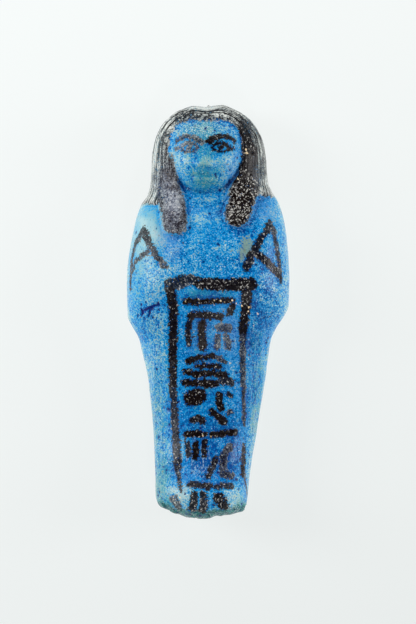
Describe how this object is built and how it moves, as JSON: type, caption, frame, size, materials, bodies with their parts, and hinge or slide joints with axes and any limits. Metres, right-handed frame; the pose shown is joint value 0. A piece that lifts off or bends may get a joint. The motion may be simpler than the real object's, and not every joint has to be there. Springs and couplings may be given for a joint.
{
  "type": "ushabti figurine",
  "caption": "Small moulded funerary figurine of blue glazed faience, mummy-shaped, with a long wig and a flat back, lying face up.",
  "frame": {"origin": "on the flat of the back, at the middle of the figurine's length and breadth", "axes": "+Y from the feet to the head, +Z out of the chest and face, +X to the right of someone looking down on the face with the head away from them"},
  "size_m": [0.0356, 0.09, 0.0202],
  "materials": {
    "faience_glaze": "worn satin glaze, bright blue with black painted details"
  },
  "bodies": {
    "root": {"figurine": "faience_glaze"}
  },
  "joints": []
}
